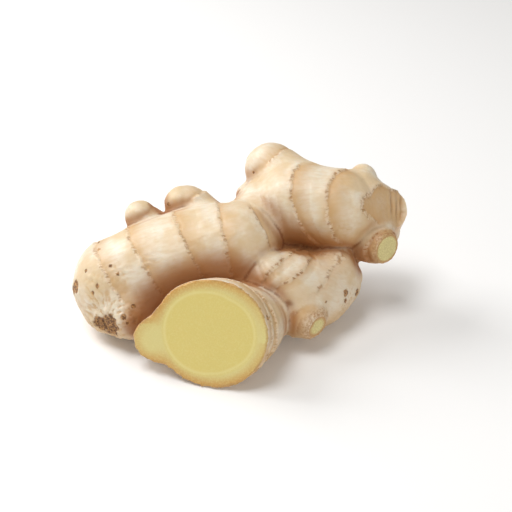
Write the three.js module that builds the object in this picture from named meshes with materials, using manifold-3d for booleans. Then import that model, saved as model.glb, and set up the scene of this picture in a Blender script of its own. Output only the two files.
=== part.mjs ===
// A ginger root: one knobbly rhizome of fat fingers with three cut ends, as it rests on a table.
// Millimetres, +Z up, +X along its longest side, the big cut face towards -Y, the origin under its middle.
import * as THREE from "three";
import { mergeVertices } from "three/addons/utils/BufferGeometryUtils.js";
import Module from "manifold-3d";

// Driving dimensions
const FACET = 2.75; // width of a facet of the skin
const RING_HEIGHT = 0.85; // a growth ring stands this far out of the skin, larger than life
const RING_REACH = 2.6; // from a ring's crest to the foot of its slope
const CREST_CATCH = 0.48 * FACET; // a vertex this close to a ring's plane slides onto its crest
const ON_CREST = 0.3; // and this close it counts as being on it
const CLEAR_RING = 0.4; // the least strength of a ring that vertices slide to
const SEAM = 3; // a ring fades out over this distance where its branch meets another
const STEPS_PER_SPAN = 6; // straight pieces between two points of a strand
const SETTLE_PASSES = 4; // each brings a vertex closer to the skin
const STUB_TALL = 1.04; // the thick finger is this much taller than it is wide
const STUMP_EDGE = 1.5; // width of the round edge of a healed stump
const FLOOR_DEPTH = 10; // of the block that takes the three low points off flat
const SKIN_COLOUR = 0xd8b58c;

// A branch is one finger, lobe or knob. It grows along its strands, whose points are [x, y, z, radius].
// Its strands melt together over the width blend, and it melts into the others over the width join.
// A ring is [distance along the first strand, then how far its plane leans in x, y and z].
// A cut is where a knife went through: a point on the cut, the way it faces, and how wide a cut it was.
// A stump is the flat end left by a finger that broke off and healed: a point, its facing and its reach.
const BRANCHES = {
  leftLobe: {
    strands: [
      [[-49, -3, 18.6, 19], [-33, -1, 24.5, 19.8], [-15, 2.5, 29, 19.8], [-2.5, 2, 32.5, 18]],
      [[-43.5, -18, 14, 10], [-53, -12.5, 12, 9]],
    ],
    blend: 5,
    join: 3,
    rings: [[0.5, 0.1, -0.1, -0.15], [15.5, 0.1, -0.05, -0.2], [32.5, 0, -0.05, -0.2],
      [45.5, 0, -0.2, 0.1], [60.5, 0.1, -0.4, 0.05]],
  },
  kneeKnob: {
    strands: [[[-37.5, 13, 36, 7.5], [-41, 14, 40, 6.5]]],
    blend: 3,
    join: 3,
    rings: [],
  },
  budKnob: {
    strands: [[[-16, 15, 40, 8], [-21, 18, 43, 7.6], [-24.5, 18, 44, 7]]],
    blend: 3,
    join: 3,
    rings: [[5, 0, 0, 0]],
  },
  backLobe: {
    strands: [
      [[10.5, 17.5, 40, 14], [23, 18, 43.5, 16.6], [36, 15.5, 42.5, 16.6], [46.5, 19, 42, 13.5]],
      [[52.5, 18.5, 41, 10.2], [59.3, 20, 40, 8.2]],
      [[58.8, 18.5, 38, 7], [59.7, 22, 28, 6]],
    ],
    blend: 4,
    join: 5,
    rings: [[22, 0.2, 0.15, -0.6], [37, 0.1, 0.8, -0.35], [63.8, 0.25, 0.95, -0.45]],
    stump: { at: [55.5, 12.5, 48.4], facing: [0.725, -0.563, 0.397], reach: 15 },
  },
  leftBump: {
    strands: [[[5.5, 24, 41, 7], [2, 27, 43, 4.6]]],
    blend: 3,
    join: 3,
    rings: [],
  },
  backKnob: {
    strands: [[[21, 25, 47, 12], [12, 34.5, 51, 11]]],
    blend: 3,
    join: 4,
    rings: [[10.5, 0.1, 0.1, 0.05]],
  },
  topBump: {
    strands: [[[47.5, 23, 48, 7.5], [49.5, 27.5, 51, 5.3]]],
    blend: 3,
    join: 3,
    rings: [],
  },
  rearLeg: {
    strands: [[[12.5, 25.5, 36, 10], [13.5, 34.5, 22, 10.5], [13.5, 38.5, 9, 9.5]]],
    blend: 3,
    join: 5,
    rings: [[10, 0, 0, 0], [22, 0.1, 0, 0.05]],
  },
  rightLobe: {
    strands: [
      [[11.5, -11, 26, 11], [19.5, -9, 21.5, 13.4], [28.5, -3, 15.2, 15.4]],
      [[38, 2.5, 15, 10], [43, 6.5, 15.5, 6.6]],
      [[36, 1.5, 23, 9], [39.5, 3.5, 27, 4.8]],
      [[14, 4, 22, 10], [28, 7, 18, 10]],
    ],
    blend: 4.5,
    join: 2.5,
    rings: [[-1.5, 0.15, 0.64, 0.07], [0.6, 0.4, 0.39, 0.39], [-4.4, 0.88, -0.13, 0.47]],
  },
  rightTip: {
    strands: [[[18.5, -12, 17.5, 11.5], [23, -17, 14.2, 9.6], [25.6, -20.2, 13.4, 7.9]]],
    blend: 3,
    join: 4,
    rings: [[12, 0, 0.05, 0]],
    cut: { at: [29.7, -25, 12.8], facing: [0.65, -0.75, -0.1], width: 14 },
  },
  backFinger: {
    strands: [[[44, 20.5, 29, 11.5], [51.5, 12, 30, 8.9], [56, 6.7, 30.6, 7.3]]],
    blend: 3,
    join: 4,
    rings: [[19.5, 0.15, 0.15, 0.1]],
    cut: { at: [57.3, 2.6, 31], facing: [0.61, -0.77, 0.08], width: 16 },
  },
  stub: {
    strands: [
      [[9, -17, 14.5, 12], [-1, -29.5, 15.5, 15.6], [-11.5, -40, 20.5, 19.6], [-16, -44.5, 22, 20.2]],
      [[-24, -27, 11.5, 7.2], [-32.3, -35, 14.2, 8], [-36, -40, 14.8, 7.7]],
      [[-3, -18, 14, 11], [-20, -20, 11.5, 8.5], [-30, -22.5, 9.5, 6.5]],
      [[-3, -32, 17, 14], [-7.6, -41, 21, 17.8], [-10, -46, 22, 18.2]],
    ],
    blend: 6,
    join: 2.5,
    tall: STUB_TALL,
    rings: [[19, -0.35, 0.35, -0.1], [25.5, -0.35, 0.35, -0.1]],
    cut: { at: [-11.5, -40.8, 20.5], facing: [-0.27, -0.92, 0.33], width: 90 },
  },
};

// The axis of a strand as short straight pieces, each with the radius at its two ends.
function axisOf(points) {
  const curve = new THREE.CatmullRomCurve3(
    points.map(([x, y, z]) => new THREE.Vector3(x, y, z)), false, "catmullrom",
  );
  const steps = (points.length - 1) * STEPS_PER_SPAN;
  const radiusAt = (step) => {
    const place = (step / steps) * (points.length - 1);
    const span = Math.min(Math.floor(place), points.length - 2);
    const share = THREE.MathUtils.smoothstep(place - span, 0, 1);
    return THREE.MathUtils.lerp(points[span][3], points[span + 1][3], share);
  };
  const pieces = [];
  for (let i = 0; i < steps; i++) {
    const line = new THREE.Line3(curve.getPoint(i / steps), curve.getPoint((i + 1) / steps));
    pieces.push({ line, from: radiusAt(i), to: radiusAt(i + 1) });
  }
  return pieces;
}

// The plane of a growth ring: across the axis at that distance along it, straight on past its end.
function ringPlane(pieces, [along, ...lean]) {
  let left = along;
  let piece = pieces[0];
  for (const next of pieces) {
    piece = next;
    if (left <= next.line.distance() || next === pieces.at(-1)) break;
    left -= next.line.distance();
  }
  const direction = piece.line.delta(new THREE.Vector3()).normalize();
  const centre = piece.line.start.clone().addScaledVector(direction, left);
  const normal = direction.sub(new THREE.Vector3(...lean)).normalize();
  return new THREE.Plane().setFromNormalAndCoplanarPoint(normal, centre);
}

// A stump as its middle, its plane, and how far from its middle it is felt.
function stumpOf({ at, facing, reach }) {
  const middle = new THREE.Vector3(...at);
  const normal = new THREE.Vector3(...facing).normalize();
  return { middle, plane: new THREE.Plane().setFromNormalAndCoplanarPoint(normal, middle), reach };
}

const branches = Object.values(BRANCHES).map((branch) => {
  const axes = branch.strands.map(axisOf);
  const planes = branch.rings.map((ring) => ringPlane(axes[0], ring));
  return { ...branch, axes, planes, stump: branch.stump && stumpOf(branch.stump) };
});

// Two distances joined with a round fillet of this width.
function melt(a, b, width) {
  return Math.min(a, b) - Math.max(width - Math.abs(a - b), 0) ** 2 / (4 * width);
}

const nearest = new THREE.Vector3();

// How far a point is outside one branch; inside, the distance is below zero.
function distanceToBranch(point, branch) {
  let total = Infinity;
  for (const axis of branch.axes) {
    let strand = Infinity;
    for (const { line, from, to } of axis) {
      const share = line.closestPointToPointParameter(point, true);
      line.at(share, nearest).sub(point);
      nearest.z /= branch.tall ?? 1;
      strand = Math.min(strand, nearest.length() - THREE.MathUtils.lerp(from, to, share));
    }
    total = total === Infinity ? strand : melt(total, strand, branch.blend);
  }
  if (branch.stump?.middle.distanceTo(point) < branch.stump?.reach) {
    total = -melt(-total, -branch.stump.plane.distanceToPoint(point), STUMP_EDGE);
  }
  return total;
}

// The ring of a branch that is closest to a point, and how far the point is from its plane.
function closestRing(point, branch) {
  let found = { away: Infinity };
  for (const plane of branch.planes) {
    const away = plane.distanceToPoint(point);
    if (Math.abs(away) < Math.abs(found.away)) found = { away, plane };
  }
  return found;
}

// The whole root at a point: the distance to its skin, and the ring there with its strength, 0 to 1.
function rootAt(point) {
  let total = Infinity;
  let own = { distance: Infinity };
  let other = Infinity;
  for (const branch of branches) {
    const distance = distanceToBranch(point, branch);
    total = total === Infinity ? distance : melt(total, distance, branch.join);
    other = Math.min(other, Math.max(distance, own.distance));
    if (distance < own.distance) own = { distance, branch };
  }
  const ring = closestRing(point, own.branch);
  const strength = THREE.MathUtils.smoothstep(other - own.distance, 0, SEAM);
  const slope = Math.max(1 - Math.abs(ring.away) / RING_REACH, 0);
  return { distance: total - RING_HEIGHT * strength * slope, ring, strength };
}

// The direction out of the skin at a point.
function outward(point) {
  const step = 0.05;
  const slopes = ["x", "y", "z"].map((axis) => {
    const ahead = point.clone();
    const behind = point.clone();
    ahead[axis] += step;
    behind[axis] -= step;
    return (rootAt(ahead).distance - rootAt(behind).distance) / (2 * step);
  });
  return new THREE.Vector3(...slopes);
}

// Moves a vertex onto the skin, and onto the crest of a ring that passes close by.
function settle(point) {
  for (let pass = 1; pass <= SETTLE_PASSES; pass++) {
    const out = outward(point);
    const { distance, ring, strength } = rootAt(point);
    point.addScaledVector(out, -distance / Math.max(out.lengthSq(), 0.2));
    if (pass === SETTLE_PASSES || strength < CLEAR_RING || Math.abs(ring.away) > CREST_CATCH) continue;
    const along = ring.plane.normal.clone().projectOnPlane(out.normalize());
    if (along.length() > 0.5) point.addScaledVector(along, -ring.away / along.lengthSq());
  }
}

// The lowest of the corners of a cell that are on one side of the skin together with this corner. Corners
// inside the root meet across a face, corners outside only along an edge, so two sheets of skin stay apart.
function groupOf(corner, insides) {
  const steps = insides[corner] ? [1, 2, 4, 3, 5, 6] : [1, 2, 4];
  const found = new Set([corner]);
  for (const from of found) {
    for (const step of steps) {
      if (insides[from ^ step] === insides[corner]) found.add(from ^ step);
    }
  }
  return Math.min(...found);
}

// The grid that holds the root: its first corner and how many corners it has each way.
function gridRoundRoot() {
  const reach = new THREE.Box3();
  for (const { strands } of branches) {
    for (const [x, y, z, radius] of strands.flat()) {
      const size = new THREE.Vector3().setScalar(2 * (radius * STUB_TALL + FACET));
      reach.union(new THREE.Box3().setFromCenterAndSize(new THREE.Vector3(x, y, z), size));
    }
  }
  const count = reach.getSize(new THREE.Vector3()).divideScalar(FACET).ceil().addScalar(1);
  return { first: reach.min, count };
}

// The skin as a net of four-sided facets: one vertex for each sheet of skin in a cell of the grid,
// and one facet across each edge of the grid that goes through the skin.
function netOfSkin() {
  const { first, count } = gridRoundRoot();
  const place = (corner) => corner.clone().multiplyScalar(FACET).add(first);
  const key = (corner) => (corner.x * count.y + corner.y) * count.z + corner.z;
  const corners = [];
  for (let x = 0; x < count.x; x++) {
    for (let y = 0; y < count.y; y++) {
      for (let z = 0; z < count.z; z++) corners.push(new THREE.Vector3(x, y, z));
    }
  }
  const values = corners.map((corner) => rootAt(place(corner)).distance);
  const units = [new THREE.Vector3(1, 0, 0), new THREE.Vector3(0, 1, 0), new THREE.Vector3(0, 0, 1)];
  const cornersOfCell = [0, 1, 2, 3, 4, 5, 6, 7].map((n) => new THREE.Vector3(n & 1, (n >> 1) & 1, n >> 2));
  const sheets = new Map();
  const facets = [];
  for (const corner of corners) {
    for (let axis = 0; axis < 3; axis++) {
      const next = corner.clone().add(units[axis]);
      const [here, there] = [values[key(corner)], values[key(next)]];
      if (!next.clone().min(count.clone().subScalar(1)).equals(next)) continue;
      if (here < 0 === there < 0) continue;
      const crossing = place(corner).lerp(place(next), here / (here - there));
      const [u, v] = [(axis + 1) % 3, (axis + 2) % 3];
      const facet = [[0, 0], [1, 0], [1, 1], [0, 1]].map(([p, q]) => {
        const cell = corner.clone().addScaledVector(units[u], -p).addScaledVector(units[v], -q);
        const insides = cornersOfCell.map((offset) => values[key(offset.clone().add(cell))] < 0);
        const start = (p << u) | (q << v);
        const groups = [groupOf(start, insides), groupOf(start | (1 << axis), insides)].sort();
        const name = [key(cell), ...groups].join();
        const sheet = sheets.get(name) ?? { total: new THREE.Vector3(), count: 0 };
        sheet.total.add(crossing);
        sheet.count++;
        sheets.set(name, sheet);
        return sheet;
      });
      facets.push(here < 0 ? facet : facet.reverse());
    }
  }
  return { sheets: [...sheets.values()], facets };
}

// The uncut root as a closed geometry, each facet split along the diagonal that follows a ring.
function skinGeometry() {
  const { sheets, facets } = netOfSkin();
  sheets.forEach((sheet, index) => {
    sheet.index = index;
    sheet.point = sheet.total.divideScalar(sheet.count);
    settle(sheet.point);
    const { ring, strength } = rootAt(sheet.point);
    sheet.onCrest = strength > 0 && Math.abs(ring.away) < ON_CREST;
  });
  const indices = [];
  for (const [a, b, c, d] of facets) {
    const crestAC = a.onCrest && c.onCrest;
    const crestBD = b.onCrest && d.onCrest;
    const shortAC = a.point.distanceTo(c.point) < b.point.distanceTo(d.point);
    if (crestAC === crestBD ? shortAC : crestAC) {
      indices.push(a.index, b.index, c.index, a.index, c.index, d.index);
    } else {
      indices.push(a.index, b.index, d.index, b.index, c.index, d.index);
    }
  }
  const geometry = new THREE.BufferGeometry().setFromPoints(sheets.map(({ point }) => point));
  geometry.setIndex(indices);
  return geometry;
}

const wasm = await Module();
wasm.setup();

// A closed geometry as a solid that can be cut.
function solidOf(geometry) {
  const bare = geometry.clone().deleteAttribute("normal").deleteAttribute("uv");
  const merged = mergeVertices(bare);
  return new wasm.Manifold(new wasm.Mesh({
    numProp: 3,
    vertProperties: merged.attributes.position.array,
    triVerts: new Uint32Array(merged.index.array),
  }));
}

// The block of air on the far side of a knife cut.
function cutBlock({ at, facing, width }) {
  const normal = new THREE.Vector3(...facing).normalize();
  const depth = width / 2;
  const turn = new THREE.Quaternion().setFromUnitVectors(new THREE.Vector3(0, 0, 1), normal);
  const block = new THREE.BoxGeometry(width, width, depth).translate(0, 0, depth / 2);
  return solidOf(block.applyQuaternion(turn).translate(...at));
}

// The root with its knife cuts, and with its low points flat where they rest.
function rootGeometry() {
  let root = solidOf(skinGeometry());
  for (const { cut } of branches) {
    if (cut) root = root.subtract(cutBlock(cut));
  }
  const floor = new THREE.BoxGeometry(200, 200, FLOOR_DEPTH).translate(0, 0, -FLOOR_DEPTH / 2);
  root = root.subtract(solidOf(floor));
  const { vertProperties, triVerts } = root.getMesh();
  const geometry = new THREE.BufferGeometry();
  geometry.setAttribute("position", new THREE.Float32BufferAttribute(vertProperties, 3));
  geometry.setIndex([...triVerts]);
  geometry.computeBoundingBox();
  const middle = geometry.boundingBox.getCenter(new THREE.Vector3());
  return geometry.translate(-middle.x, -middle.y, 0);
}

const skin = new THREE.MeshStandardMaterial({
  name: "ginger_skin", color: SKIN_COLOUR, roughness: 0.75, metalness: 0, flatShading: true,
});

const root = new THREE.Mesh(rootGeometry(), skin);
root.name = "ginger_root";

const ginger = new THREE.Group();
ginger.add(root);

export default ginger;
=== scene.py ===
import math

import bpy
import numpy as np
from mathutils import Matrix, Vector, noise


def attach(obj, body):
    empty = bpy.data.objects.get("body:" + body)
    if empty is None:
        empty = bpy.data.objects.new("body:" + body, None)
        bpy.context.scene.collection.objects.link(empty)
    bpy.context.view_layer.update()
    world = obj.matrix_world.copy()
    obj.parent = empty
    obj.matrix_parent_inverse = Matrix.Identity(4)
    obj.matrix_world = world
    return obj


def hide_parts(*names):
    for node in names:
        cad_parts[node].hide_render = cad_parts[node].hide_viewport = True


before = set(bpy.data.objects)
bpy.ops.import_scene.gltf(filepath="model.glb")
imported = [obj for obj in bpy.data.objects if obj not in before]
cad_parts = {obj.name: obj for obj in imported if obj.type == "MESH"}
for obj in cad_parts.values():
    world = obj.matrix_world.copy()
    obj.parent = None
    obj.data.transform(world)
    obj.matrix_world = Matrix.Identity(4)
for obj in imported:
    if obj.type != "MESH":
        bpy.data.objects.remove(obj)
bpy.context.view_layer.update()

MM = 0.001

# The view: a camera that looks down on the root from its front, with the big cut face towards it,
# close enough to see the perspective of a small thing on a table.
CAMERA_ABOVE = math.radians(32)
CAMERA_AWAY = 484 * MM
CAMERA_AIM = Vector((5.68, 0.47, 30)) * MM

camera = bpy.data.objects.new("camera", bpy.data.cameras.new("camera"))
camera.data.lens = 85
camera.data.sensor_width = 36
camera.location = CAMERA_AIM + CAMERA_AWAY * Vector((0, -math.cos(CAMERA_ABOVE), math.sin(CAMERA_ABOVE)))
camera.rotation_euler = (math.pi / 2 - CAMERA_ABOVE, 0, 0)
bpy.context.collection.objects.link(camera)
bpy.context.scene.camera = camera

# The rhizome is one piece of firm fibrous flesh in a thin skin. It has grown by branching, so each finger,
# lobe and knob swells out of the last one. A knife has cut three of them across, and one more broke off
# long ago and left a healed stump.

# A branch has strands of points [x, y, z, radius] that melt together over the width blend, and it melts
# into the others over the width join. A ring, where a leaf sat, is the distance along the first strand,
# how far its plane leans in x, y and z, and how brown the old leaf base has gone. The skin past a ring is
# darker by the share tan, partly dried skin and partly painted shade below the ring's step, and the skin
# underneath is darkened by the share underside as painted shade. A tall branch is stretched upwards. A cut
# or a stump is flat: a point on it, its facing, how far it reaches, and how rough a cut's flesh has dried.
BRANCHES = {
    "left_lobe": {
        "strands": [
            [[-49, -3, 18.6, 19], [-33, -1, 24.5, 19.8], [-15, 2.5, 29, 19.8], [-2.5, 2, 32.5, 18]],
            [[-43.5, -18, 14, 10], [-53, -12.5, 12, 9]],
        ],
        "blend": 5, "join": 3,
        "rings": [[0.5, 0.1, -0.1, -0.15, 0.3], [15.5, 0.1, -0.05, -0.2, 0.35], [32.5, 0, -0.05, -0.2, 0.4],
                  [45.5, 0, -0.2, 0.1, 0.5], [60.5, 0.1, -0.4, 0.05, 0.3]],
    },
    "knee_knob": {
        "strands": [[[-37.5, 13, 36, 7.5], [-41, 14, 40, 6.5]]],
        "blend": 3, "join": 3, "rings": [],
    },
    "bud_knob": {
        "strands": [[[-16, 15, 40, 8], [-21, 18, 43, 7.6], [-24.5, 18, 44, 7]]],
        "blend": 3, "join": 3, "rings": [[5, 0, 0, 0, 0.2]],
    },
    "back_lobe": {
        "strands": [
            [[10.5, 17.5, 40, 14], [23, 18, 43.5, 16.6], [36, 15.5, 42.5, 16.6], [46.5, 19, 42, 13.5]],
            [[52.5, 18.5, 41, 10.2], [59.3, 20, 40, 8.2]],
            [[58.8, 18.5, 38, 7], [59.7, 22, 28, 6]],
        ],
        "blend": 4, "join": 5, "tan": 0.95, "underside": 0.9,
        "rings": [[22, 0.2, 0.15, -0.6, 0.55], [37, 0.1, 0.8, -0.35, 0.75]],
        "stump": {"at": [55.5, 12.5, 48.4], "facing": [0.725, -0.563, 0.397], "reach": 15},
    },
    "left_bump": {
        "strands": [[[5.5, 24, 41, 7], [2, 27, 43, 4.6]]],
        "blend": 3, "join": 3, "rings": [],
    },
    "back_knob": {
        "strands": [[[21, 25, 47, 12], [12, 34.5, 51, 11]]],
        "blend": 3, "join": 4, "rings": [[10.5, 0.1, 0.1, 0.05, 0.45]],
    },
    "top_bump": {
        "strands": [[[47.5, 23, 48, 7.5], [49.5, 27.5, 51, 5.3]]],
        "blend": 3, "join": 3, "rings": [],
    },
    "rear_leg": {
        "strands": [[[12.5, 25.5, 36, 10], [13.5, 34.5, 22, 10.5], [13.5, 38.5, 9, 9.5]]],
        "blend": 3, "join": 5, "rings": [[10, 0, 0, 0, 0.5], [22, 0.1, 0, 0.05, 0.4]],
    },
    "right_lobe": {
        "strands": [
            [[11.5, -11, 26, 11], [19.5, -9, 21.5, 13.4], [28.5, -3, 15.2, 15.4]],
            [[38, 2.5, 15, 10], [43, 6.5, 15.5, 6.6]],
            [[36, 1.5, 23, 9], [39.5, 3.5, 27, 4.8]],
            [[14, 4, 22, 10], [28, 7, 18, 10]],
        ],
        "blend": 4.5, "join": 2.5, "tan": 0.4,
        "rings": [[-1.5, 0.15, 0.64, 0.07, 0.7], [0.6, 0.4, 0.39, 0.39, 0.9],
                  [-4.4, 0.88, -0.13, 0.47, 0.5]],
    },
    "right_tip": {
        "strands": [[[18.5, -12, 17.5, 11.5], [23, -17, 14.2, 9.6], [25.6, -20.2, 13.4, 7.9]]],
        "blend": 3, "join": 4, "rings": [[12, 0, 0.05, 0, 0.9]],
        "cut": {"at": [29.7, -25, 12.8], "facing": [0.65, -0.75, -0.1], "reach": 15, "rough": 0.5},
    },
    "back_finger": {
        "strands": [[[44, 20.5, 29, 11.5], [51.5, 12, 30, 8.9], [56, 6.7, 30.6, 7.3]]],
        "blend": 3, "join": 4, "rings": [[19.5, 0.15, 0.15, 0.1, 1]],
        "cut": {"at": [57.3, 2.6, 31], "facing": [0.61, -0.77, 0.08], "reach": 16, "rough": 0.2},
    },
    "stub": {
        "strands": [
            [[9, -17, 14.5, 12], [-1, -29.5, 15.5, 15.6], [-11.5, -40, 20.5, 19.6], [-16, -44.5, 22, 20.2]],
            [[-24, -27, 11.5, 7.2], [-32.3, -35, 14.2, 8], [-36, -40, 14.8, 7.7]],
            [[-3, -18, 14, 11], [-20, -20, 11.5, 8.5], [-30, -22.5, 9.5, 6.5]],
            [[-3, -32, 17, 14], [-7.6, -41, 21, 17.8], [-10, -46, 22, 18.2]],
        ],
        "blend": 6, "join": 2.5, "tall": 1.04,
        "rings": [[19, -0.35, 0.35, -0.1, 0.15], [25.5, -0.35, 0.35, -0.1, 0.1]],
        "cut": {"at": [-11.5, -40.8, 20.5], "facing": [-0.27, -0.92, 0.33], "reach": 60, "rough": 0.1},
    },
}
MIDDLE = np.array([0.017, -0.97, 0])  # of the root's box, which goes to the middle of the frame
CELL = 1.4  # of the grid in which the skin is found, before each facet is split into four
SPAN_STEPS = 6  # pieces of an axis between two of its points
NEARBY = 12  # a branch isn't felt further away than this
STUMP_EDGE = 1.5  # the width over which the rim of a stump is rounded
LEAST_STEEP = 0.3  # a slope counts as no less than this, so that no point jumps far as it settles
FAR = 1000


def axis_of(points):
    """The axis of a strand as rows x, y, z, radius, a few to each span between two points."""
    known = np.array(points, float)
    around = np.vstack([2 * known[0] - known[1], known, 2 * known[-1] - known[-2]])[:, :3]
    rows = []
    for span in range(len(known) - 1):
        a, b, c, d = around[span:span + 4]
        for t in np.arange(SPAN_STEPS) / SPAN_STEPS:
            bend = (2 * a - 5 * b + 4 * c - d) * t ** 2 + (3 * b - 3 * c + d - a) * t ** 3
            place = (2 * b + (c - a) * t + bend) / 2
            radius = known[span, 3] + (known[span + 1, 3] - known[span, 3]) * t * t * (3 - 2 * t)
            rows.append([*place, radius])
    return np.array([*rows, known[-1]])


def ring_plane(axis, along, *lean):
    """The middle and the direction of a ring, straight on past the axis's end."""
    steps = np.diff(axis[:, :3], axis=0)
    lengths = np.linalg.norm(steps, axis=1)
    starts = np.concatenate([[0], np.cumsum(lengths)[:-1]])
    piece = max(np.searchsorted(starts, along) - 1, 0)
    direction = steps[piece] / lengths[piece]
    middle = axis[piece, :3] + direction * (along - starts[piece])
    facing = direction - lean
    return middle, facing / np.linalg.norm(facing)


for branch in BRANCHES.values():
    branch["axes"] = [axis_of(points) for points in branch["strands"]]
    branch["planes"] = [ring_plane(branch["axes"][0], *ring[:4]) for ring in branch["rings"]]
    rows = np.vstack(branch["axes"])
    branch["low"] = (rows[:, :3] - rows[:, 3:]).min(0)
    branch["high"] = (rows[:, :3] + rows[:, 3:]).max(0)
    for end in ("cut", "stump"):
        if end in branch:
            branch[end]["facing"] /= np.linalg.norm(branch[end]["facing"])


def melted(a, b, width):
    """Two fields joined with a round fillet. A field's columns are its slope in x, y and z, and itself."""
    share = np.clip(0.5 - (a[:, 3:] - b[:, 3:]) / (2 * width), 0, 1)
    both = share * a + (1 - share) * b
    both[:, 3] -= (width * share * (1 - share))[:, 0]
    return both


def strand_field(points, axis, tall):
    """The distance of points from one strand, below zero inside it."""
    found = np.full((len(points), 4), float(FAR))
    for start, end in zip(axis, axis[1:]):
        piece = end[:3] - start[:3]
        share = np.clip((points - start[:3]) @ piece / (piece @ piece), 0, 1)
        away = points - start[:3] - share[:, None] * piece
        away[:, 2] /= tall
        length = np.sqrt((away * away).sum(1)) + 1e-9
        distance = length - start[3] - share * (end[3] - start[3])
        closer = distance < found[:, 3]
        found[closer, :3] = away[closer] / length[closer, None]
        found[closer, 3] = distance[closer]
    return found


def stump_field(points, stump):
    """The flat end of a finger that broke off long ago and has healed over."""
    front = (points - stump["at"]) @ stump["facing"]
    front[np.linalg.norm(points - stump["at"], axis=1) > stump["reach"]] = -FAR
    return np.column_stack([np.tile(stump["facing"], (len(points), 1)), front])


def root_field(points):
    """The uncut root at points: its field, whose branch each one is on, and how clear of the others."""
    total = np.full((len(points), 4), float(FAR))
    own = np.zeros(len(points), int)
    own_distance = np.full(len(points), float(FAR))
    other_distance = np.full(len(points), float(FAR))
    for number, branch in enumerate(BRANCHES.values()):
        near = ((points > branch["low"] - NEARBY) & (points < branch["high"] + NEARBY)).all(1)
        if not near.any():
            continue
        field = np.full((near.sum(), 4), float(FAR))
        for axis in branch["axes"]:
            field = melted(field, strand_field(points[near], axis, branch.get("tall", 1)), branch["blend"])
        if "stump" in branch:
            front = stump_field(points[near], branch["stump"])
            field = -melted(-field, -front, STUMP_EDGE)
        total[near] = melted(total[near], field, branch["join"])
        distance = field[:, 3]
        other_distance[near] = np.minimum(other_distance[near], np.maximum(distance, own_distance[near]))
        own[near] = np.where(distance < own_distance[near], number, own[near])
        own_distance[near] = np.minimum(distance, own_distance[near])
    return total, own, other_distance - own_distance


CUTS = [branch["cut"] for branch in BRANCHES.values() if "cut" in branch]


def cut_distance(points, cut):
    """How far points stand in front of a knife cut, where the knife went."""
    front = (points - cut["at"]) @ cut["facing"]
    there = np.linalg.norm(points - cut["at"], axis=1) < cut["reach"]
    return np.where(there, front, -float(FAR))


def cut_field(points):
    """The root at points with its knife cuts."""
    total = root_field(points)[0]
    for cut in CUTS:
        front = cut_distance(points, cut)
        flat = front > total[:, 3]
        total[flat, :3] = cut["facing"]
        total[flat, 3] = front[flat]
    return total


def sheet_table():
    """For each pattern of inside corners of a cell, the lowest corner that each one is joined to.

    Outside corners are joined along edges alone, and inside ones also across faces.
    """
    along_edges, across_faces = (1, 2, 4), (3, 5, 6)
    table = np.zeros((256, 8), int)
    for pattern in range(256):
        for corner in range(8):
            inside = pattern >> corner & 1
            joined = {corner}
            waiting = [corner]
            while waiting:
                here = waiting.pop()
                for step in along_edges + across_faces if inside else along_edges:
                    there = here ^ step
                    if there not in joined and (pattern >> there & 1) == inside:
                        joined.add(there)
                        waiting.append(there)
            table[pattern, corner] = min(joined)
    return table


def net_of_skin(low, high):
    """The skin as four-sided facets: a vertex for each sheet of skin in a cell of the grid."""
    count = np.ceil((high - low) / CELL).astype(int) + 1
    grid = np.stack(np.meshgrid(*map(np.arange, count), indexing="ij"), -1).reshape(-1, 3)
    values = np.concatenate([cut_field(low + CELL * part)[:, 3] for part in np.array_split(grid, 8)])
    values = values.reshape(count)
    inside = values < 0
    pattern = np.zeros(count - 1, int)
    for corner in range(8):
        x, y, z = corner & 1, corner >> 1 & 1, corner >> 2
        pattern |= inside[x:count[0] - 1 + x, y:count[1] - 1 + y, z:count[2] - 1 + z].astype(int) << corner
    table = sheet_table()
    names, crossings = [], []
    for axis in range(3):
        unit = np.eye(3, dtype=int)
        last = count - unit[axis]
        ahead = inside[tuple(slice(step, None) for step in unit[axis])]
        start = np.argwhere(inside[:last[0], :last[1], :last[2]] != ahead)
        here = values[tuple(start.T)]
        there = values[tuple((start + unit[axis]).T)]
        crossing = low + CELL * (start + (here / (here - there))[:, None] * unit[axis])
        facet = []
        u, v = (axis + 1) % 3, (axis + 2) % 3
        for p, q in ((0, 0), (1, 0), (1, 1), (0, 1)):
            cell = start - p * unit[u] - q * unit[v]
            corner = p << u | q << v
            groups = table[pattern[tuple(cell.T)]]
            pair = np.sort(groups[:, [corner, corner | 1 << axis]], axis=1)
            facet.append(np.ravel_multi_index(cell.T, count) * 64 + pair[:, 0] * 8 + pair[:, 1])
        facet = np.stack(facet, 1)
        facet[here >= 0] = facet[here >= 0, ::-1]
        names.append(facet)
        crossings.append(np.repeat(crossing[:, None], 4, axis=1))
    names, crossings = np.concatenate(names), np.concatenate(crossings)
    facets = np.unique(names, return_inverse=True)[1].reshape(-1)
    uses = np.bincount(facets)
    flat = crossings.reshape(-1, 3)
    points = np.stack([np.bincount(facets, flat[:, i]) / uses for i in range(3)], 1)
    return points, facets.reshape(-1, 4)


def split_in_four(points, facets):
    """Each facet as four, with new points at the middles of its edges and of itself."""
    edges = np.stack([facets, np.roll(facets, -1, axis=1)], -1)
    ends, edge_of = np.unique(np.sort(edges.reshape(-1, 2), axis=1), axis=0, return_inverse=True)
    edge_of = edge_of.reshape(-1, 4) + len(points)
    centre = np.arange(len(facets)) + len(points) + len(ends)
    finer = np.vstack([points, points[ends].mean(1), points[facets].mean(1)])
    quarters = [[facets[:, i], edge_of[:, i], centre, edge_of[:, i - 1]] for i in range(4)]
    return finer, np.concatenate([np.stack(quarter, 1) for quarter in quarters])


def settle(points, passes):
    """Moves points onto the skin and the cut faces."""
    for _ in range(passes):
        field = cut_field(points)
        steep = np.maximum((field[:, :3] ** 2).sum(1), LEAST_STEEP)
        points = points - (field[:, 3] / steep)[:, None] * field[:, :3]
    return points


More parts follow.
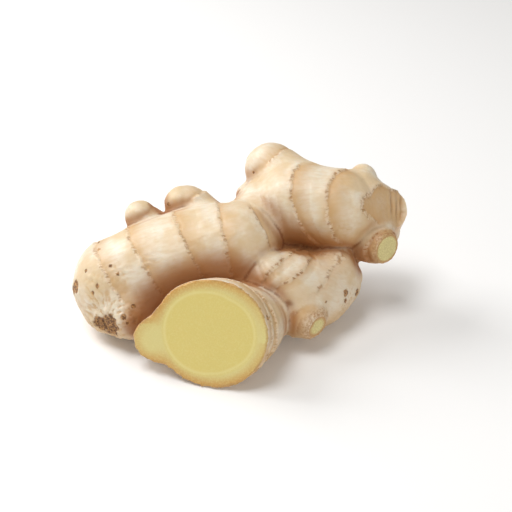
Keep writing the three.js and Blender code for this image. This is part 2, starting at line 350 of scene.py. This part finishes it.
low = np.min([branch["low"] for branch in BRANCHES.values()], axis=0) - 2 * CELL
high = np.max([branch["high"] for branch in BRANCHES.values()], axis=0) + 2 * CELL
skin, facets = net_of_skin(low, high)
skin = settle(skin, 3)
skin, facets = split_in_four(skin, facets)
skin = settle(skin, 4)

# The cut faces are flat and wet where the knife went, with a sharp rim. Points near both the cut and the
# skin slide onto the line where the two meet.
RIM_CATCH = 0.55 * CELL / 2
ON_FACE = 0.1  # a point this close to a cut lies on it
depth = np.zeros(len(skin))  # how deep under the uncut skin a point of a cut face lies
facing_cut = np.zeros((len(skin), 3))
rough_cut = np.zeros(len(skin))
for cut in CUTS:
    front = cut_distance(skin, cut)
    field = root_field(skin)[0]
    on_rim = (np.abs(front) < RIM_CATCH) & (np.abs(field[:, 3]) < RIM_CATCH)
    for _ in range(5):
        rim = skin[on_rim] - cut_distance(skin[on_rim], cut)[:, None] * cut["facing"]
        field = root_field(rim)[0]
        slope = field[:, :3] - (field[:, :3] @ cut["facing"])[:, None] * cut["facing"]
        skin[on_rim] = rim - (field[:, 3] / (slope ** 2).sum(1))[:, None] * slope
    on_face = (np.abs(cut_distance(skin, cut)) < ON_FACE) & ~on_rim
    below = -root_field(skin)[0][:, 3]
    on_face &= below > 0
    depth[on_face] = below[on_face]
    facing_cut[on_rim | on_face] = cut["facing"]
    rough_cut[on_rim | on_face] = cut["rough"]
on_cut = depth > 0

# Each ring is the jagged edge of an old leaf base: the skin swells up to it, stops in a row of little
# ridges, and starts lower on its far side. Its line wanders a little round the root.
RING_REACH = 6  # a ring is felt this far away
RING_CLEAR = 3  # and fades out over this distance from where its branch meets another
RING_RISE = 0.42  # the step down at its edge
RING_SWELL = 4.2  # the distance over which the skin swells up to it
RIDGE = 0.36  # height of the little ridges in its edge
GROOVE = 0.2  # depth of the line just past it
OLDER_AND_SHADE_BAND = 8.5  # width of the darker skin past it
GRAIN_STRETCH = 3.2  # marks on the skin are this much longer along a branch than across it


def wander(places, size, seed):
    """Smooth noise at places, about -1 to 1, with lumps of this size."""
    return np.array([noise.noise(place) for place in (places / size + seed).tolist()])


def smooth(values, start, end):
    """From 0 at the start to 1 at the end, with soft shoulders."""
    share = np.clip((values - start) / (end - start), 0, 1)
    return share * share * (3 - 2 * share)


field, own, clear = root_field(skin)
outward = field[:, :3] / np.linalg.norm(field[:, :3], axis=1, keepdims=True)
past = np.full(len(skin), float(FAR))  # how far past its nearest ring a point is
brown = np.zeros(len(skin))  # how brown that ring is
tan = np.zeros(len(skin))
underside = np.zeros(len(skin))
grain = skin.copy()  # places drawn together along each branch, so that marks come out long that way
for number, branch in enumerate(BRANCHES.values()):
    mine = own == number
    tan[mine] = branch.get("tan", 0.75)
    underside[mine] = branch.get("underside", 0.6)
    growth = branch["axes"][0][-1, :3] - branch["axes"][0][0, :3]
    growth /= np.linalg.norm(growth)
    grain[mine] -= (1 - 1 / GRAIN_STRETCH) * (skin[mine] @ growth)[:, None] * growth
    grain[mine] += 40 * number
    for (middle, facing), ring in zip(branch["planes"], branch["rings"]):
        beyond = (skin - middle) @ facing
        nearer = mine & (np.abs(beyond) < np.abs(past))
        past[nearer] = beyond[nearer]
        brown[nearer] = ring[4]
    if "stump" in branch:  # its rim is a ring too, and a narrow one
        beyond = 3 * (stump_field(skin, branch["stump"])[:, 3] + 0.9)
        nearer = mine & (np.abs(beyond) < np.abs(past)) & (np.abs(beyond) < RING_REACH)
        past[nearer] = beyond[nearer]
        brown[nearer] = 0.45
past += 0.75 * wander(skin, 4.2, 3) + 0.5 * wander(skin, 1.7, 8)
strength = smooth(clear, 0.3, RING_CLEAR) * (brown > 0)
ring_near = np.clip(1 - np.abs(past) / RING_REACH, 0, 1) * strength
# The skin just past a ring is darker, partly dried skin and partly painted shade below the ring's step, and
# the underside of each finger is darkened as painted shade.
older_and_shade = smooth(past, OLDER_AND_SHADE_BAND, 0.5) * (past > 0) * strength * tan
older_and_shade = 1 - (1 - np.clip(older_and_shade, 0, 1)) * (1 - underside * smooth(outward[:, 2], 0.35, -0.6))
rise = np.exp(-np.maximum(-past, 0) / RING_SWELL) * smooth(past, 0.45, -0.35)
worn = np.maximum(0.5 + 1.2 * wander(skin, 3.5, 6), 0)  # 0 where the edge has worn off
ridges = np.exp(-((past + 0.3) / 0.8) ** 2) * np.maximum(0.2 + 1.4 * wander(grain, 1.1, 5), 0) * worn
groove = np.exp(-((past - 0.8) / 0.5) ** 2)
lift = strength * (RING_RISE * rise + RIDGE * ridges - GROOVE * groove)

# The whole skin is a little uneven, and finely ribbed along the way it grew.
lift += 0.45 * wander(skin, 13, 1) + 0.16 * wander(skin, 5, 2) + 0.07 * wander(grain, 1.1, 4)

# Roots and shoots have left scars: rough round hollows with a raised rim. Each is [x, y, z, radius].
SCARS = [
    [-51.6, -25, 13.2, 4.6], [-55.5, -22.8, 12, 3.4], [-65.6, -11.4, 22.6, 2.6], [-66.2, -9.6, 19.6, 2],
    [-61.1, -11.9, 30.2, 0.8], [-66, -7, 32.5, 0.8], [-56, -18.3, 27.4, 0.9], [-57.9, -18.7, 24.6, 0.8],
    [-56.6, -5.2, 36.2, 0.7], [-56.8, 0.1, 35.7, 0.7], [-50.9, -14.2, 34.1, 0.7],
    [-47.8, -17.1, 32.2, 0.6], [-41.9, -24.3, 22, 0.9], [-45.4, -26.8, 18.6, 1.2],
    [-43.9, -27.4, 16.4, 0.8], [-30, 13, 46.3, 1.2], [41.6, -10.4, 18.8, 1.5], [41, -10.8, 15.8, 1.2],
    [46.2, -3.6, 14.7, 1.5], [33.2, -18.2, 19.8, 0.6], [4.5, 26.8, 53.5, 0.6], [9.8, -41.3, 28.2, 0.8],
]
scar = np.zeros(len(skin))
for *spot, radius in SCARS:
    away = np.linalg.norm(skin - spot, axis=1) / radius + 0.3 * wander(skin, 1.6, 11)
    scar = np.maximum(scar, smooth(away, 1.25, 0.7))
    lift += 0.1 * radius * np.exp(-((away - 1.25) / 0.3) ** 2)
    lift -= 0.12 * radius * smooth(away, 1.1, 0.6)
lift += 0.45 * scar * wander(skin, 1.1, 12)

# Wrinkles run out from the scar at the dried left end and from those on the right lobe. Each fan of them
# is [x, y, z, reach, height].
WRINKLES = [[-52, -24, 13.5, 20, 0.6], [40, -8, 14, 9, 0.3]]
wrinkle = np.zeros(len(skin))
for *spot, reach, height in WRINKLES:
    spokes = skin - spot
    away = np.linalg.norm(spokes, axis=1)
    fold = wander((spokes + away[:, None] ** 2 / 60) / away[:, None], 0.1, 20)
    fold *= smooth(away, reach, 0.4 * reach) * smooth(away, 1, 4)
    lift += height * fold
    wrinkle += fold

# Here and there the skin has gone scaly, in patches of small raised flakes, with painted highlight on them
# and painted shade between them. Each is [x, y, z, radius].
SCALY = [
    [-48, -17.5, 32, 6], [-36.5, -16, 37, 4], [-57, -15, 27, 6], [39.5, -0.8, 40.5, 5.5], [45, -8, 15, 6],
]
for *spot, radius in SCALY:
    away = np.linalg.norm(skin - spot, axis=1) / radius
    flakes = wander(skin, 1.3, 70) * smooth(away, 1.2, 0.4)
    lift += 0.35 * flakes
    wrinkle += 0.45 * flakes

# Creases are single sharp folds of the skin, each from one point to another, with a width and a depth. The
# skin along each is darkened as painted shade.
CREASES = [
    [60.6, 19.8, 48.9, 61.3, 13.2, 39.6, 0.8, 0.7], [63, 22.6, 47.4, 63.6, 14.2, 37.1, 0.7, 0.8],
    [65.1, 22, 44.5, 65.4, 17.4, 39, 0.6, 0.6], [6.5, -14.3, 35.9, 9.6, -21.2, 30.2, 0.8, 0.8],
    [8.4, -14.5, 36, 11.1, -20.7, 31.7, 0.7, 0.7], [10.3, -17.5, 35.1, 13, -19.8, 32.5, 0.6, 0.5],
    [-43.1, -23.7, 23, -39.3, -24.9, 20.1, 0.6, 0.6],
]
crease_shade = np.zeros(len(skin))
for *ends, width, deep in CREASES:
    start, end = np.array(ends[:3]), np.array(ends[3:])
    share = np.clip((skin - start) @ (end - start) / ((end - start) @ (end - start)), 0, 1)
    away = np.linalg.norm(skin - start - share[:, None] * (end - start), axis=1)
    away += 0.5 * wander(skin, 2.5, 40)
    fade = 0.35 + 0.65 * np.sin(np.pi * share)
    crease_shade = np.maximum(crease_shade, fade * smooth(np.abs(away), 1.3 * width, 0))
    lift -= 0.7 * deep * fade * np.exp(-(away / width) ** 2)
    lift += 0.3 * deep * fade * np.exp(-((away - 2 * width) / width) ** 2)

# The two small cuts are older than the big one: they have dried right through, and the skin just behind
# them is frayed and brown.
OLD_CUT = 0.15  # a cut rougher than this is an old one
frayed = np.zeros(len(skin))
for number, branch in enumerate(BRANCHES.values()):
    if "cut" in branch and branch["cut"]["rough"] > OLD_CUT:
        behind = -cut_distance(skin, branch["cut"])
        frayed = np.maximum(frayed, (own == number) * smooth(behind, 4, 0.5))
frayed = np.clip(frayed + 0.4 * wander(skin, 2, 50), 0, 1) * (frayed > 0)
lift += 0.4 * frayed * wander(skin, 1.1, 51)

# Skin rises and falls along its own slope, and a rim along its cut too, so that the faces stay flat. Only
# the dried flesh of the small cuts is rough.
slope = outward - (outward * facing_cut).sum(1, keepdims=True) * facing_cut
bare = skin + np.where(on_cut, 0, lift)[:, None] * slope
roughened = rough_cut * on_cut * (0.5 * wander(skin, 2.4, 30) + 0.4 * wander(skin, 0.9, 31))
bare += roughened[:, None] * facing_cut

# Painted shade: folds between branches are darkened to a warm brown. A place is shut in by the skin near
# it:
# 0 in the open, 1 deep in a fold. Each feeler is how far it goes out, how far down, and its share in the
# answer.
FEELERS = [(3, 0, 0.2), (8, 0, 0.25), (16, 0, 0.25), (14, 10, 0.3)]
# The painted shade is deepest round the notch where three fingers meet.
NOTCH = [4.5, -20.8, 31]  # where three fingers meet
fold_shade = np.zeros(len(skin))
for out, down, share in FEELERS:
    step = out * outward - [0, 0, down]
    open_air = root_field(skin + step)[0][:, 3] / np.linalg.norm(step, axis=1)
    fold_shade += share * np.clip(1 - open_air, 0, 1)
from_notch = np.linalg.norm(skin - NOTCH, axis=1)
fold_shade = np.maximum(fold_shade, 0.9 * smooth(from_notch, 5, 1.5)) * ~on_cut
# Where two branches meet deep in a fold, a thin line of darker painted shade.
seam_shade = smooth(clear + 0.4 * wander(skin, 1.5, 60), 1.3, 0.1) * smooth(fold_shade, 0.2, 0.5)

# The big cut shows the ring round its core, and has dried darker at its upper left and at its foot.
FACE_RADIUS = 20
stub = BRANCHES["stub"]
core = np.zeros(len(skin))
for axis in (stub["axes"][0], stub["axes"][3]):
    core = np.maximum(core, -strand_field(skin, axis, stub["tall"])[:, 3])
across, _, up = ((skin - stub["cut"]["at"]) / FACE_RADIUS).T
dried = np.clip(0.3 + 0.9 * np.abs(up) - 0.4 * across * (up > 0), 0, 1)
old_cut = (rough_cut > OLD_CUT) * 1.0

bare -= MIDDLE
bare[:, 2] = np.maximum(bare[:, 2], 0)

SHARP_EDGE = math.radians(50)
mesh = bpy.data.meshes.new("ginger_root_skin")
mesh.from_pydata((bare * MM).tolist(), [], facets.tolist())
mesh.shade_smooth()
mesh.set_sharp_from_angle(angle=SHARP_EDGE)
CARRIED = {  # what the material reads at each point
    "ring_near": ring_near, "ring_brown": brown * strength, "older_and_shade": older_and_shade, "scar": scar,
    "wrinkle": wrinkle, "crease_shade": crease_shade, "frayed": frayed, "fold_shade": fold_shade, "seam_shade": seam_shade,
    "depth": depth, "core": core, "dried": dried, "old_cut": old_cut,
}
for name, values in CARRIED.items():
    mesh.attributes.new(name, "FLOAT", "POINT").data.foreach_set("value", values.astype(np.float32))
along_growth = mesh.attributes.new("grain", "FLOAT_VECTOR", "POINT")
along_growth.data.foreach_set("vector", grain.astype(np.float32).ravel())


class Shade:
    """One output in a material's node tree. Sums and products of values add Math nodes."""

    def __init__(self, tree, socket=None):
        self.tree = tree
        self.socket = socket

    def node(self, kind, settings=None, inputs=None, output=0):
        node = self.tree.nodes.new("ShaderNode" + kind)
        for name, value in (settings or {}).items():
            setattr(node, name, value)
        for name, value in (inputs or {}).items():
            if isinstance(value, Shade):
                self.tree.links.new(value.socket, node.inputs[name])
            else:
                node.inputs[name].default_value = value
        return Shade(self.tree, node.outputs[output]) if node.outputs else None

    def math(self, operation, *values):
        return self.node("Math", {"operation": operation}, dict(enumerate(values)))

    def __add__(self, other):
        return self.math("ADD", self, other)

    def __sub__(self, other):
        return self.math("SUBTRACT", self, other)

    def __rsub__(self, other):
        return self.math("SUBTRACT", other, self)

    def __mul__(self, other):
        return self.math("MULTIPLY", self, other)

    __radd__ = __add__
    __rmul__ = __mul__

    def span(self, start, end):
        """From 0 at the start to 1 at the end, with soft shoulders."""
        inputs = {"Value": self, "From Min": start, "From Max": end}
        return self.node("MapRange", {"interpolation_type": "SMOOTHSTEP"}, inputs)

    def colour(self, under, over):
        """Two colours mixed by this share of the second."""
        return self.node("Mix", {"data_type": "RGBA"}, {0: self, 6: under, 7: over}, output=2)


# The skin is thin, dry and papery: pale beige with pink and cream patches, and brown where a ring or scar
# has dried. Painted shade darkens it to a deep warm brown in the folds, creases and seams, in wrinkle
# hollows and on the undersides, and painted highlight lightens ring edges and wrinkle crests. A cut shows
# yellow flesh inside a paler ring and an orange cortex, with the skin as a thin line round it.
SKIN_CREAM = (0.79, 0.70, 0.56, 1)
SKIN_TAN = (0.67, 0.49, 0.27, 1)
SKIN_PINK = (0.73, 0.58, 0.41, 1)
SKIN_OLDER_AND_SHADE = (0.57, 0.33, 0.12, 1)
RING_PALE = (0.90, 0.76, 0.56, 1)
RING_TAN = (0.58, 0.34, 0.15, 1)
RING_BROWN = (0.38, 0.17, 0.05, 1)
FOLD_SHADE = (0.38, 0.15, 0.04, 1)
SEAM_SHADE = (0.20, 0.06, 0.012, 1)
SCAR_BROWN = (0.12, 0.04, 0.01, 1)
SCAR_PALE = (0.50, 0.25, 0.08, 1)
FLESH_YELLOW = (0.73, 0.60, 0.19, 1)
FLESH_PALE = (0.80, 0.71, 0.32, 1)
FLESH_DRY = (0.62, 0.52, 0.22, 1)
CORTEX_PALE = (0.72, 0.62, 0.25, 1)
CORTEX_ORANGE = (0.62, 0.35, 0.09, 1)
RIM_BROWN = (0.50, 0.27, 0.09, 1)

material = bpy.data.materials.new("ginger_skin_and_flesh")
material.use_nodes = True
material.node_tree.nodes.clear()
make = Shade(material.node_tree)


def measured(name):
    """A value that the mesh carries at each of its points."""
    return make.node("Attribute", {"attribute_name": name}, output=2)


def speckle(vector, size, detail=2.0, roughness=0.5):
    """Noise with lumps of this size in millimetres, about 0.3 to 0.7."""
    inputs = {"Vector": vector, "Scale": 1 / size, "Detail": detail, "Roughness": roughness}
    return make.node("TexNoise", {}, inputs)


place = make.node("TexCoord", output=3)
place = make.node("VectorMath", {"operation": "SCALE"}, {0: place, "Scale": 1 / MM})
along = make.node("Attribute", {"attribute_name": "grain"}, output=1)
near = measured("ring_near")
ring_brown = measured("ring_brown")
streaks = speckle(along, 1.3, 4, 0.6)
fine = speckle(along, 0.35, 3, 0.6)
grit = speckle(place, 0.9, 3, 0.6)

skin_colour = (speckle(place, 13, 3).span(0.4, 0.62) * 0.75).colour(SKIN_CREAM, SKIN_TAN)
skin_colour = (speckle(place, 9).span(0.5, 0.68) * 0.5).colour(skin_colour, SKIN_PINK)
skin_colour = (streaks.span(0.42, 0.62) * 0.3).colour(skin_colour, SKIN_TAN)
# Painted shade on the undersides, and past each ring darker skin that is partly dried, partly painted
# shade.
skin_colour = (measured("older_and_shade") * 0.8).colour(skin_colour, SKIN_OLDER_AND_SHADE)
skin_colour = (near.span(0.55, 0.95) * ring_brown * 0.5).colour(skin_colour, RING_TAN)
# At a ring's edge the pale ridges are partly the dry leaf base and partly painted highlight, and the brown
# in the gaps between them is partly the leaf base's brown and partly painted shade.
edge = (near + (grit - 0.5) * 0.25).span(0.86, 0.96)
gaps = speckle(along, 1.0, 3).span(0.45, 0.58) * speckle(place, 4).span(0.38, 0.55)
skin_colour = (edge * (1 - gaps) * 0.4).colour(skin_colour, RING_PALE)
skin_colour = (edge * gaps * (0.25 + ring_brown * 0.65)).colour(skin_colour, RING_BROWN)
wrinkle = measured("wrinkle")
# Painted shade darkens the hollows of the wrinkles and flakes, and painted highlight lightens their crests.
skin_colour = (wrinkle.span(0.05, -0.4) * 0.6).colour(skin_colour, SKIN_OLDER_AND_SHADE)
skin_colour = (wrinkle.span(0.15, 0.5) * 0.3).colour(skin_colour, RING_PALE)
# Painted shade: a warm brown in the folds.
skin_colour = (measured("fold_shade").span(0.1, 0.75) * 0.88).colour(skin_colour, FOLD_SHADE)
# Painted shade: a darker line along the seams deep in the folds.
skin_colour = (measured("seam_shade") * 0.75).colour(skin_colour, SEAM_SHADE)
skin_colour = (measured("frayed") * grit.span(0.32, 0.68) * 0.8).colour(skin_colour, RING_BROWN)
# Painted shade along the creases.
skin_colour = (measured("crease_shade") * 0.45).colour(skin_colour, RING_BROWN)
scar_colour = grit.span(0.4, 0.62).colour(SCAR_BROWN, SCAR_PALE)
skin_colour = (measured("scar").span(0.1, 0.7) * 0.9).colour(skin_colour, scar_colour)

under = measured("depth")
dried = measured("dried")
old_cut = measured("old_cut")
fibres = speckle(place, 0.6, 3, 0.6)
ragged = under + (fibres - 0.5) * 0.8
cortex_colour = (dried * ragged.span(5, 0.6)).colour(CORTEX_PALE, CORTEX_ORANGE)
core = measured("core") + (fibres - 0.5) * 0.7
flesh_colour = core.span(2.6, 4.6).colour(cortex_colour, FLESH_YELLOW)
flesh_colour = (core.span(3.6, 4.2) * core.span(5.2, 4.4) * 0.5).colour(flesh_colour, FLESH_PALE)
flesh_colour = (fibres.span(0.45, 0.65) * 0.25).colour(flesh_colour, FLESH_PALE)
dry_colour = (fibres.span(0.4, 0.62) * 0.6).colour(FLESH_DRY, FLESH_PALE)
flesh_colour = old_cut.colour(flesh_colour, dry_colour)
rim = ragged.span(1.1, 0.3) * (0.6 + old_cut * 0.4)
flesh_colour = rim.colour(flesh_colour, RIM_BROWN)
flesh = under.span(0.05, 0.2)
colour = flesh.colour(skin_colour, flesh_colour)

rough_places = measured("scar") + measured("seam_shade") + measured("fold_shade") * 0.6
roughness = 0.42 + (streaks - 0.5) * 0.35 + rough_places * 0.4
height = streaks * 0.10 + fine * 0.05 + speckle(place, 0.5, 2) * 0.06
height = height + edge * gaps * -0.25 + flesh * fibres * 0.12
bump = make.node("Bump", {}, {"Strength": 0.7, "Distance": MM, "Height": height})
surface = make.node("BsdfPrincipled", {}, {
    "Base Color": colour, "Roughness": roughness, "Normal": bump, "Subsurface Weight": 0.1,
    "Subsurface Radius": (1.0, 0.55, 0.3), "Subsurface Scale": MM, "Specular IOR Level": 0.5,
})
make.node("OutputMaterial", {}, {"Surface": surface})
mesh.materials.append(material)

root = bpy.data.objects.new("ginger_root_skin", mesh)
bpy.context.collection.objects.link(root)
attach(root, "root")
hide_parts("ginger_root")

# The table is plain and white, and runs on past every edge of the view.
TABLE_HALF = 3
table_mesh = bpy.data.meshes.new("table")
corners = [(TABLE_HALF * x, TABLE_HALF * y, 0) for x, y in ((-1, -1), (1, -1), (1, 1), (-1, 1))]
table_mesh.from_pydata(corners, [], [(0, 1, 2, 3)])
white = bpy.data.materials.new("table_white")
white.use_nodes = True
finish = white.node_tree.nodes["Principled BSDF"].inputs
finish["Base Color"].default_value = (0.88, 0.88, 0.88, 1)
finish["Roughness"].default_value = 0.6
finish["Emission Color"].default_value = (1, 1, 1, 1)
finish["Emission Strength"].default_value = 0.06
table_mesh.materials.append(white)
table = bpy.data.objects.new("table", table_mesh)
bpy.context.collection.objects.link(table)

# Studio light: a broad soft lamp above, a little to the left, another behind on the left, a weak one in
# front on the right, and a warm white room round them. Each lamp is its place, its power and its width.
LAMPS = {
    "overhead_light": ((-0.24, -0.12, 0.86), 4.15, 0.4),
    "side_light": ((-0.58, 0.34, 0.54), 5.0, 0.5),
    "front_light": ((0.5, -0.65, 0.25), 1.4, 0.5),
}
LIT = Vector((0, 0, 0.02))
for name, (stand, power, width) in LAMPS.items():
    lamp = bpy.data.objects.new(name, bpy.data.lights.new(name, "AREA"))
    lamp.data.energy = power
    lamp.data.size = width
    lamp.location = stand
    lamp.rotation_euler = (LIT - lamp.location).to_track_quat("-Z", "Y").to_euler()
    bpy.context.collection.objects.link(lamp)
room = bpy.data.worlds.new("white_room")
room.use_nodes = True
walls = room.node_tree.nodes["Background"].inputs
walls["Color"].default_value = (1, 0.96, 0.90, 1)
walls["Strength"].default_value = 0.3
bpy.context.scene.world = room
bpy.context.scene.view_settings.view_transform = "Standard"
